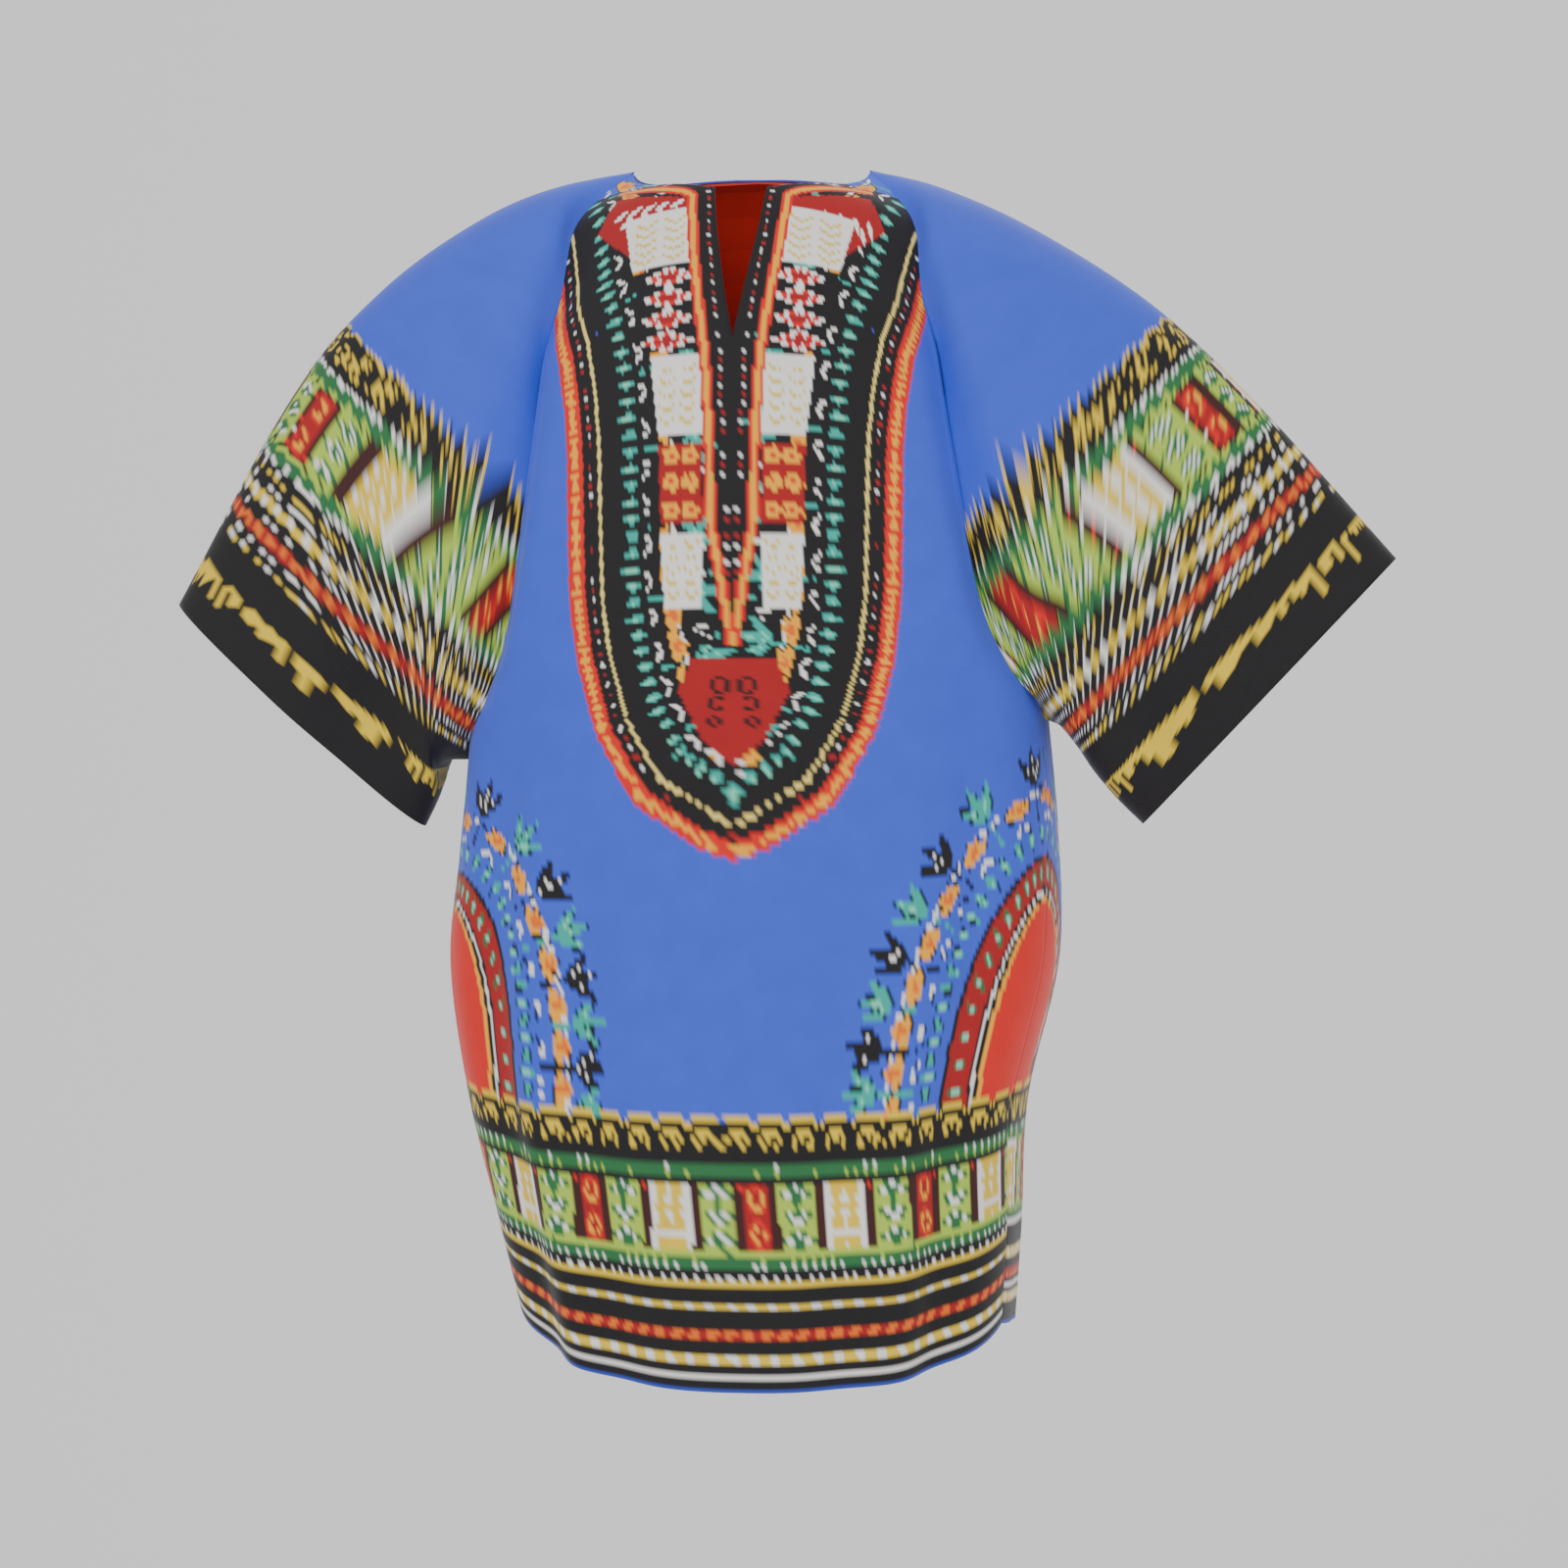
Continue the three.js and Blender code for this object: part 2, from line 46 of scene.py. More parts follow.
for step in range(1, 13):
    turn = math.radians(90 * step / 12)
    profile.append((1.6 + 1.2 * math.sin(turn), STAGE_FLOOR + 1.2 * (1 - math.cos(turn))))
profile.append((2.8, 5.0))
line = [sweep.verts.new((-7.0, y, z)) for y, z in profile]
for a, b in zip(line, line[1:]):
    sweep.edges.new((a, b))
drawn = bmesh.ops.extrude_edge_only(sweep, edges=sweep.edges[:])
moved = [v for v in drawn["geom"] if isinstance(v, bmesh.types.BMVert)]
bmesh.ops.translate(sweep, verts=moved, vec=(14.0, 0, 0))
stage_mesh = bpy.data.meshes.new("paper_sweep")
sweep.to_mesh(stage_mesh)
sweep.free()
for face in stage_mesh.polygons:
    face.use_smooth = True
stage = bpy.data.objects.new("paper_sweep", stage_mesh)
bpy.context.collection.objects.link(stage)
paper = bpy.data.materials.new("pale_paper")
paper.use_nodes = True
paper.node_tree.nodes["Principled BSDF"].inputs["Base Color"].default_value = (0.93, 0.93, 0.93, 1)
paper.node_tree.nodes["Principled BSDF"].inputs["Roughness"].default_value = 0.9
stage_mesh.materials.append(paper)

world = bpy.data.worlds.new("studio")
bpy.context.scene.world = world
world.use_nodes = True
world.node_tree.nodes["Background"].inputs["Color"].default_value = (1, 1, 1, 1)
world.node_tree.nodes["Background"].inputs["Strength"].default_value = 0.75


def soft_light(name, place, aim, size, power):
    lamp = bpy.data.lights.new(name, "AREA")
    lamp.size = size
    lamp.energy = power
    light = bpy.data.objects.new(name, lamp)
    light.location = place
    light.rotation_euler = (Vector(aim) - Vector(place)).to_track_quat("-Z", "Y").to_euler()
    bpy.context.collection.objects.link(light)


MIDDLE = (0.02, 0.0, -0.38)
soft_light("key", (-1.4, -2.6, 1.5), MIDDLE, 1.4, 42)
soft_light("fill", (2.4, -2.2, 0.4), MIDDLE, 1.8, 22)
soft_light("back_light", (0.3, 1.2, 1.8), MIDDLE, 1.4, 14)

CAMERA_AZIMUTH = math.radians(7.0)
CAMERA_ELEVATION = math.radians(3.5)
CAMERA_DISTANCE = 3.2
FRAME_WIDTH = 0.984  # what the frame takes in at the shirt
aim = Vector((0.02, 0.0025, -0.382))
toward = Vector((math.sin(CAMERA_AZIMUTH) * math.cos(CAMERA_ELEVATION),
                 -math.cos(CAMERA_AZIMUTH) * math.cos(CAMERA_ELEVATION),
                 math.sin(CAMERA_ELEVATION)))
camera_data = bpy.data.cameras.new("camera")
camera = bpy.data.objects.new("camera", camera_data)
camera.location = aim + CAMERA_DISTANCE * toward
camera.rotation_euler = toward.to_track_quat("Z", "Y").to_euler()
camera_data.sensor_width = 36
camera_data.lens = 36 * CAMERA_DISTANCE / FRAME_WIDTH
bpy.context.collection.objects.link(camera)
bpy.context.scene.camera = camera

# ---------------------------------------------------------------- front and back: the form
# The body is a wide tunic. Its form is a row of rings from the shoulder line down, the same
# rings as the solids have, in millimetres, with deeper folds near the hem.
BODY_COLUMNS = ("zFront zBack zEdge tilt shift half front back full armFront armBack seam").split()
BODY_ROWS = np.array([
    (0, 0, 0, 0, 0, 100, 0, 0, 2, 74, 74, 0),
    (-4, -2, -17, 0, 0, 126, 27, 24, 2, 92, 92, 0),
    (-11, -8, -38, 0, 0, 150, 50, 48, 2.1, 106, 108, 0),
    (-42, -44, -78, 1, 0, 160, 70, 76, 2.3, 112, 118, 0),
    (-86, -90, -119, 2, 0, 168, 88, 95, 2.4, 127, 132, 0),
    (-140, -145, -168, 3, 1, 174, 101, 105, 2.4, 135, 142, 0),
    (-202, -206, -224, 5, 2, 177, 110, 108, 2.4, 144, 150, 0),
    (-268, -268, -284, 9, 3, 178, 115, 106, 2.4, 155, 158, 0),
    (-312, -308, -322, 11, 4, 179, 117, 104, 2.4, 166, 168, 0),
    (-345, -340, -352, 14, 4, 181, 118, 102, 2.4, 0, 0, 18),
    (-420, -414, -420, 8, 4, 187, 120, 100, 2.4, 0, 0, 34),
    (-498, -490, -494, 2, 1, 190, 122, 103, 2.4, 0, 0, 42),
    (-590, -582, -578, 0, -3, 174, 126, 112, 2.4, 0, 0, 42),
    (-676, -667, -652, -3, 4, 163, 131, 121, 2.4, 0, 0, 38),
    (-743, -734, -707, -7, 9, 154, 136, 128, 2.4, 0, 0, 36),
], float)
UNDERARM_ROW = 9
LAST_ROW = len(BODY_ROWS) - 1
NECK_HALF_WIDTH, NECK_FRONT, NECK_BACK = 74, 52, 38
SLIT_HALF_GAP, SLIT_LENGTH = 16, 104
SHOULDER_START = 0.12
# angle, lean, from row, to row, width and depth of each trough or ridge
BODY_FOLDS = [
    (-30, 6, 8, 15, 9, -6), (22, -3, 8, 15, 8, -5), (-52, 2, 7, 15, 10, -7),
    (50, -4, 7, 15, 10, -7), (-40, 4, 9, 15, 8, 4), (36, -2, 9, 15, 8, 4),
    (104, 6, 8, 15, 10, 5), (-108, -4, 8, 15, 10, 4), (132, 4, 6, 15, 9, -7),
    (-136, -5, 6, 15, 10, -8), (162, 3, 5, 15, 9, -6), (-168, 4, 7, 15, 9, -5),
]
VALLEY_FROM, VALLEY_FRONT_END, VALLEY_BACK_END, VALLEY_REACH, VALLEY_DEPTH = 2.5, 8.5, 6.5, 20, 9


def spline(table, at):
    """Values of a column of numbers at fractional rows, on a smooth curve."""
    last = len(table) - 1
    at = np.asarray(at, float)
    i = np.clip(np.floor(at).astype(int), 0, last - 1)
    t = at - i
    padded = np.concatenate([[2 * table[0] - table[1]], table, [2 * table[-1] - table[-2]]])
    before, here, after, beyond = padded[i], padded[i + 1], padded[i + 2], padded[i + 3]
    slope0, slope1 = (after - before) / 2, (beyond - here) / 2
    t2, t3 = t * t, t * t * t
    return ((2 * t3 - 3 * t2 + 1) * here + (t3 - 2 * t2 + t) * slope0
            + (3 * t2 - 2 * t3) * after + (t3 - t2) * slope1)


def body(name, row, rows=BODY_ROWS):
    """One of the body's measures at rows."""
    return spline(rows[:, BODY_COLUMNS.index(name)], row)


def ramp(a, b, x):
    t = np.clip((x - a) / (b - a), 0, 1)
    return t * t * (3 - 2 * t)


def bump(x):
    return np.exp(-x * x)


def edge_angle(row, panel):
    row = np.asarray(row, float)

    def seam_angle(at):
        forward = body("seam", at - UNDERARM_ROW, BODY_ROWS[UNDERARM_ROW:])
        return np.arccos((forward / body("front", at)) ** (body("full", at) / 2))

    def arm_angle(at):
        arm = body("armFront" if panel == "front" else "armBack", at, BODY_ROWS[:UNDERARM_ROW])
        angle = np.arcsin(np.minimum(1, (arm / body("half", at)) ** (body("full", at) / 2)))
        return angle if panel == "front" else math.pi - angle

    last_arm = UNDERARM_ROW - 1
    below = seam_angle(np.maximum(row, UNDERARM_ROW))
    above = arm_angle(np.minimum(row, last_arm))
    t = np.clip(row - last_arm, 0, 1)
    return np.where(row >= UNDERARM_ROW, below, above + (seam_angle(np.float64(UNDERARM_ROW)) - above) * t)


def valley_at(row, panel):
    end = VALLEY_FRONT_END if panel == "front" else VALLEY_BACK_END
    return ramp(VALLEY_FROM, VALLEY_FROM + 2, row) * (1 - ramp(end - 2, end, row))


def body_point(row, angle, side, panel):
    """Places in millimetres at rows, at angles round the body, on the side +1 or -1."""
    power = 2 / body("full", row)
    sine, cosine = np.sin(angle), np.cos(angle)
    half = body("half", row)
    x = half * np.abs(sine) ** power
    reach = np.abs(cosine) ** power
    front, back = np.maximum(0, body("front", row)), np.maximum(0, body("back", row))
    y = np.where(cosine > 0, -front * reach, back * reach)
    edge = edge_angle(row, panel)
    centre = 0 if panel == "front" else math.pi
    outward = np.minimum(1, np.abs((angle - centre) / (edge - centre)))
    z_centre = body("zFront" if panel == "front" else "zBack", row)
    z_edge = body("zEdge", row) + side * body("tilt", row)
    z = z_centre + (z_edge - z_centre) * outward ** 2
    out = np.zeros_like(x)
    degrees = side * np.degrees(angle)
    for fold_angle, lean, start, end, width, depth in BODY_FOLDS:
        middle = fold_angle + lean * (row - start) / (end - start)
        out += depth * ramp(start, start + 4, row) * bump((degrees - middle) / width)
    to_edge = np.abs(angle - edge) * half
    out -= VALLEY_DEPTH * bump(to_edge / VALLEY_REACH) * valley_at(row, panel)
    return np.stack([side * x + body("shift", row) + out * side * sine, y - out * cosine, z], axis=-1)


def slit_end_row():
    rows = np.arange(2, 8, 0.01)
    line_down = body_point(rows, np.zeros_like(rows), 1, "front")
    run = np.concatenate([[0], np.cumsum(np.linalg.norm(np.diff(line_down, axis=0), axis=1))])
    return float(np.interp(SLIT_LENGTH, run, rows))


SLIT_END_ROW = slit_end_row()


def opening(row, panel):
    """Half width of the neck or slit at a row."""
    if panel == "back":
        return NECK_HALF_WIDTH * np.sqrt(1 - np.minimum(1, body("back", row) / NECK_BACK) ** 2)
    neck = NECK_HALF_WIDTH * np.sqrt(1 - np.minimum(1, np.maximum(0, body("front", row)) / NECK_FRONT) ** 2)
    down = np.clip((row - 2) / (SLIT_END_ROW - 2), 0, 1)
    return np.maximum(neck, SLIT_HALF_GAP * (1 - down ** 1.6))


class PanelMap:
    """Lays a panel flat: p is the distance from its centre line and q from the shoulder
    line, down its middle, both along the cloth, in millimetres."""

    def __init__(self, panel):
        self.panel = panel
        self.rows = np.linspace(0, LAST_ROW, 421)
        centre = 0 if panel == "front" else math.pi
        down = body_point(self.rows, np.full_like(self.rows, centre), 1, panel)
        steps = np.linalg.norm(np.diff(down, axis=0), axis=1)
        self.q = np.concatenate([[0], np.cumsum(steps)])
        self.length = self.q[-1]
        self.w = np.linspace(0, 1, 161)
        edge = edge_angle(self.rows, panel)
        angles = centre + self.w[None, :] * (edge - centre)[:, None]
        rows = np.repeat(self.rows[:, None], len(self.w), axis=1)
        spots = body_point(rows, angles, 1, panel)
        runs = np.linalg.norm(np.diff(spots, axis=1), axis=2)
        self.p = np.concatenate([np.zeros((len(self.rows), 1)), np.cumsum(runs, axis=1)], axis=1)
        self.width = self.p[:, -1]

    def row(self, q):
        return np.interp(q, self.q, self.rows)

    def half_width(self, q):
        return np.interp(q, self.q, self.width)

    def flat(self, row, angle):
        """p of an angle at a row."""
        centre = 0 if self.panel == "front" else math.pi
        w = np.clip((angle - centre) / (edge_angle(row, self.panel) - centre), 0, 1)
        i = np.clip(row / LAST_ROW * (len(self.rows) - 1), 0, len(self.rows) - 1.001)
        k = i.astype(int)
        t = i - k
        j = w * (len(self.w) - 1)
        low = np.array([np.interp(jj, np.arange(len(self.w)), self.p[kk]) for jj, kk in zip(j, k)])
        high = np.array([np.interp(jj, np.arange(len(self.w)), self.p[kk + 1]) for jj, kk in zip(j, k)])
        return low + t * (high - low)


# ---------------------------------------------------------------- the print's inks
BLUE, BLACK, RED, DARK_RED = (58, 88, 218), (24, 21, 24), (222, 34, 24), (168, 24, 28)
ORANGE, AMBER, YELLOW, PALE = (236, 110, 28), (250, 172, 44), (232, 198, 54), (242, 218, 122)
TEAL, MINT, GREEN, LIME = (50, 172, 156), (122, 222, 190), (40, 110, 62), (172, 202, 72)
WHITE, BROWN, PINK = (240, 238, 235), (62, 24, 24), (235, 110, 110)


def ink(colour):
    """A printed colour as the linear values that a colour attribute holds."""
    values = []
    for part in colour:
        c = part / 255
        values.append(c / 12.92 if c <= 0.04045 else ((c + 0.055) / 1.055) ** 2.4)
    return (*values, 1.0)


# ---------------------------------------------------------------- drawing in flat cloth
class Drawing:
    """Shapes in flat cloth, each laid over the ones before it."""

    def __init__(self):
        self.shapes = []

    def shape(self, points, colour):
        self.shapes.append(([(float(x), float(y)) for x, y in points], colour))

    def round(self, x, y, wide, tall, colour, turn=0.0, sides=12):
        c, s = math.cos(turn), math.sin(turn)
        points = []
        for k in range(sides):
            a = 2 * math.pi * k / sides
            u, v = wide * math.cos(a), tall * math.sin(a)
            points.append((x + u * c - v * s, y + u * s + v * c))
        self.shape(points, colour)

    def leaf(self, x, y, length, width, turn, colour, blunt=0.4):
        """A pointed leaf or drop from (x, y), with its widest place at blunt along it."""
        c, s = math.cos(turn), math.sin(turn)
        sides = []
        for k in range(1, 6):
            t = k / 6
            swell = math.sin(math.pi * t ** (math.log(0.5) / math.log(blunt)))
            sides.append((t * length, swell * width / 2))
        loop = [(0, 0)] + sides + [(length, 0)] + [(u, -v) for u, v in reversed(sides)]
        self.shape([(x + u * c - v * s, y + u * s + v * c) for u, v in loop], colour)


def along(path, step=1.0):
    """Places every step along a path, with the direction there."""
    path = np.array(path, float)
    runs = np.concatenate([[0], np.cumsum(np.linalg.norm(np.diff(path, axis=0), axis=1))])
    count = max(2, int(round(runs[-1] / step)) + 1)
    at = np.linspace(0, runs[-1], count)
    x, y = np.interp(at, runs, path[:, 0]), np.interp(at, runs, path[:, 1])
    dx, dy = np.gradient(x), np.gradient(y)
    size = np.hypot(dx, dy) + 1e-9
    return np.stack([x, y, dx / size, dy / size], axis=1)


def offset(path, distance, step=6.0):
    """A path moved sideways, by a quarter turn from x toward y where distance is positive."""
    spots = along(path, step)
    return [(x - dy * distance, y + dx * distance) for x, y, dx, dy in spots]


def ribbon(drawing, path, low, high, colour, step=8.0):
    """A stripe beside a path, from the distance low to high."""
    one = offset(path, low, step)
    two = offset(path, high, step)
    for k in range(len(one) - 1):
        drawing.shape([one[k], one[k + 1], two[k + 1], two[k]], colour)


def teeth(drawing, path, low, high, colour, pitch):
    """A row of teeth along a path, from the distance low with points at high."""
    spots = along(path, pitch / 2)
    for k in range(0, len(spots) - 2, 2):
        (x0, y0, dx0, dy0), (x1, y1, dx1, dy1), (x2, y2, dx2, dy2) = spots[k:k + 3]
        drawing.shape([(x0 - dy0 * low, y0 + dx0 * low), (x1 - dy1 * high, y1 + dx1 * high),
                       (x2 - dy2 * low, y2 + dx2 * low)], colour)


def dots(drawing, path, distance, size, colours, pitch):
    for k, (x, y, dx, dy) in enumerate(along(path, pitch)):
        colour = colours[k % len(colours)]
        drawing.round(x - dy * distance, y + dx * distance, size, size, colour, sides=8)


# The border bands are the same along the hem and the cuffs. across runs along the border
# and up is the height above its edge.
BORDER_HEIGHT = 166


def rows_of_band(drawing, spot, start, end):
    """Draws the border from start to end; spot(across, up) gives flat cloth."""

    def bar(low, high, colour, a=start, b=end, step=30.0):
        n = max(1, int((b - a) / step))
        for k in range(n):
            x0, x1 = a + (b - a) * k / n, a + (b - a) * (k + 1) / n
            drawing.shape([spot(x0, low), spot(x1, low), spot(x1, high), spot(x0, high)], colour)

    def patches(low, high, colour, pitch, size, point=0.0):
        x = start + (start * 7) % 1
        mid = (low + high) / 2
        while x < end - pitch:
            loop = [(x, low), (x + size, low), (x + size + point, mid), (x + size, high),
                    (x, high), (x + point, mid)]
            drawing.shape([spot(a, b) for a, b in loop], colour)
            x += pitch

    def tooth_row(low, high, colour, pitch):
        n = int((end - start) / pitch)
        for k in range(n):
            x = start + (end - start) * k / n
            w = (end - start) / n
            drawing.shape([spot(x, low), spot(x + w, low), spot(x + w / 2, high)], colour)

    bar(0, BORDER_HEIGHT, BLACK)
    bar(9, 10.4, WHITE)
    bar(16, 22, WHITE)
    patches(16, 22, YELLOW, 13, 8, 1.5)
    bar(27.4, 28.6, WHITE)
    bar(32, 39, DARK_RED)
    patches(32.6, 38.4, ORANGE, 11, 6, 3.0)
    bar(43, 44.2, WHITE)
    bar(49, 55, WHITE)
    patches(49, 55, YELLOW, 13, 8, 1.5)
    bar(59.6, 60.8, WHITE)
    bar(65.4, 66.8, YELLOW)
    patches(69, 71, WHITE, 7, 2)
    bar(73, 84, GREEN)
    tooth_row(73, 77.5, WHITE, 6)
    tooth_row(84, 79.5, LIME, 6)
    block_row(drawing, spot, start, end, 85, 128)
    bar(129, 141, GREEN)
    tooth_row(129, 133.5, LIME, 6)
    tooth_row(141, 136.5, WHITE, 6)
    x = start + 10
    while x < end - 6:
        cx, cy = spot(x, 152.5)
        drawing.round(cx, cy, 6.6, 6.6, YELLOW, sides=14)
        drawing.round(cx, cy, 4.6, 4.6, BLACK, sides=12)
        drawing.round(cx, cy, 1.8, 1.8, YELLOW, sides=8)
        for up in (-1, 1):
            for side in (-1, 1):
                sx, sy = spot(x + 10 * side, 152.5 + 4 * up)
                drawing.round(sx, sy, 1.0, 1.0, YELLOW, sides=6)
        x += 20
    x = start
    while x < end - 10:
        arch = []
        for k in range(9):
            a = math.pi * k / 8
            arch.append(spot(x + 10 - 10 * math.cos(a), 162 + 6 * math.sin(a)))
        for one, two in zip(arch, arch[1:]):
            drawing.shape([one, two, spot(x + 10, 160)], YELLOW)
        inner = [spot(x + 10 - 8.2 * math.cos(math.pi * k / 8), 161 + 5 * math.sin(math.pi * k / 8))
                 for k in range(9)]
        drawing.shape(inner, BLACK)
        x += 20


def block_row(drawing, spot, start, end, low, high):
    """Upright blocks: yellow waves, lozenge lattices and red medallions by turns."""
    layout = [("waves", 25), ("gap", 6), ("lattice", 22), ("gap", 6), ("medals", 14),
              ("gap", 6), ("lattice", 22), ("gap", 6)]
    x = start
    k = 0

    def loop(points, colour):
        drawing.shape([spot(a, b) for a, b in points], colour)

    while x < end - 2:
        kind, width = layout[k % len(layout)]
        stop = min(end, x + width)
        k += 1
        if kind == "waves":
            loop([(x, low), (stop, low), (stop, high), (x, high)], WHITE)
            for lobe in range(4):
                mid = low + (high - low) * (lobe + 0.5) / 4
                if stop - x > 16:
                    cx, cy = spot(x + width * 0.32, mid)
                    drawing.round(cx, cy, 4.6, 5.2, YELLOW, sides=10)
                    cx, cy = spot(x + width * 0.68, mid)
                    drawing.round(cx, cy, 4.6, 5.2, YELLOW, sides=10)
        elif kind == "gap":
            loop([(x, low), (stop, low), (stop, high), (x, high)], BROWN)
            for dot in range(5):
                cx, cy = spot((x + stop) / 2, low + (high - low) * (dot + 0.5) / 5)
                drawing.round(cx, cy, 1.0, 1.0, WHITE if dot % 2 else RED, sides=6)
        elif kind == "lattice":
            loop([(x, low), (stop, low), (stop, high), (x, high)], LIME)
            for cell in range(3):
                mid = low + (high - low) * (cell + 0.5) / 3
                tall = (high - low) / 6 * 0.86
                for ratio, colour in ((1.0, GREEN), (0.7, WHITE), (0.42, GREEN)):
                    cx = (x + stop) / 2
                    loop([(cx - ratio * (stop - x) / 2, mid), (cx, mid - ratio * tall),
                          (cx + ratio * (stop - x) / 2, mid), (cx, mid + ratio * tall)], colour)
        else:
            loop([(x, low), (stop, low), (stop, high), (x, high)], DARK_RED)
            for medal in range(2):
                cx, cy = spot((x + stop) / 2, low + (high - low) * (medal * 2 + 1) / 4)
                drawing.round(cx, cy, 6.2, 8.6, RED, sides=12)
                drawing.round(cx, cy, 4.6, 6.4, AMBER, sides=12)
                drawing.round(cx, cy, 3.0, 4.4, DARK_RED, sides=10)
        x = stop


# ---------------------------------------------------------------- cutting printed cloth
def inside(points, x, y):
    """Which places lie inside a loop of points."""
    hit = np.zeros(len(x), bool)
    n = len(points)
    for k in range(n):
        x0, y0 = points[k]
        x1, y1 = points[(k + 1) % n]
        if y0 == y1:
            continue
        crosses = (y0 > y) != (y1 > y)
        hit ^= crosses & (x < (x1 - x0) * (y - y0) / (y1 - y0) + x0)
    return hit


def printed(drawing, flat, ground):
    """The ink at each place of the flat cloth."""
    colours = np.tile(np.array(ink(ground)), (len(flat), 1))
    order = np.argsort(flat[:, 1])
    x, y = flat[order, 0], flat[order, 1]
    for loop, colour in drawing.shapes:
        xs, ys = [p[0] for p in loop], [p[1] for p in loop]
        low, high = np.searchsorted(y, [min(ys), max(ys)])
        near = np.nonzero((x[low:high] >= min(xs)) & (x[low:high] <= max(xs)))[0] + low
        if len(near):
            hit = near[inside(loop, x[near], y[near])]
            colours[order[hit]] = ink(colour)
    return colours


def printed_cloth(name, flat, spots, faces, drawing, ground, wall, material_slot):
    """One printed piece of cloth, laid on its form."""
    mesh = bpy.data.meshes.new(name)
    mesh.from_pydata((spots / 1000).tolist(), [], faces)
    layer = mesh.color_attributes.new("print", "FLOAT_COLOR", "POINT")
    layer.data.foreach_set("color", printed(drawing, flat, ground).astype(np.float32).ravel())
    uv = mesh.uv_layers.new(name="cloth")
    index = np.zeros(len(mesh.loops), np.int32)
    mesh.loops.foreach_get("vertex_index", index)
    uv.data.foreach_set("uv", (flat[index] / 1000).astype(np.float32).ravel())
    mesh.shade_smooth()
    piece = bpy.data.objects.new(name, mesh)
    bpy.context.collection.objects.link(piece)
    mesh.materials.append(printed_cotton)
    mesh.materials.append(wrong_side)
    thick = piece.modifiers.new("wall", "SOLIDIFY")
    thick.thickness = wall
    thick.offset = 0
    thick.material_offset = 1
    thick.material_offset_rim = 0
    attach(piece, "root")
    return piece


def panel_grid(panel_map, down, across):
    """Both halves of a panel as flat places, places on the form, and faces."""
    panel = panel_map.panel
    rows = np.linspace(SHOULDER_START, LAST_ROW, down)
    gap = opening(rows, panel)
    gap[gap < 1e-4] = 0
    ratio = np.clip((gap / body("half", rows)) ** (body("full", rows) / 2), 0, 1)
    inner = np.arcsin(ratio) if panel == "front" else math.pi - np.arcsin(ratio)
    edge = edge_angle(rows, panel)
    flats, spots, faces = [], [], []
    number = {}
    for side in (-1, 1):
        share = np.linspace(0, 1, across)
        angles = inner[:, None] + share[None, :] * (edge - inner)[:, None]
        grid_rows = np.repeat(rows[:, None], across, axis=1)
        place = body_point(grid_rows, angles, side, panel)
        p = panel_map.flat(grid_rows.ravel(), angles.ravel()).reshape(angles.shape) * side
        q = np.interp(grid_rows, panel_map.rows, panel_map.q)
        ids = np.zeros(angles.shape, int)
        for i in range(down):
            for j in range(across):
                key = ("centre", i) if j == 0 and gap[i] == 0 else (side, i, j)
                if key not in number:
                    number[key] = len(spots)
                    spots.append(place[i, j])
                    flats.append((p[i, j], q[i, j]))
                ids[i, j] = number[key]
        out = (side > 0) == (panel == "front")
        for i in range(down - 1):
            for j in range(across - 1):
                corners = [ids[i, j], ids[i + 1, j], ids[i + 1, j + 1], ids[i, j + 1]]
                faces.append([int(c) for c in (corners if out else corners[::-1])])
    return np.array(flats), np.array(spots), faces


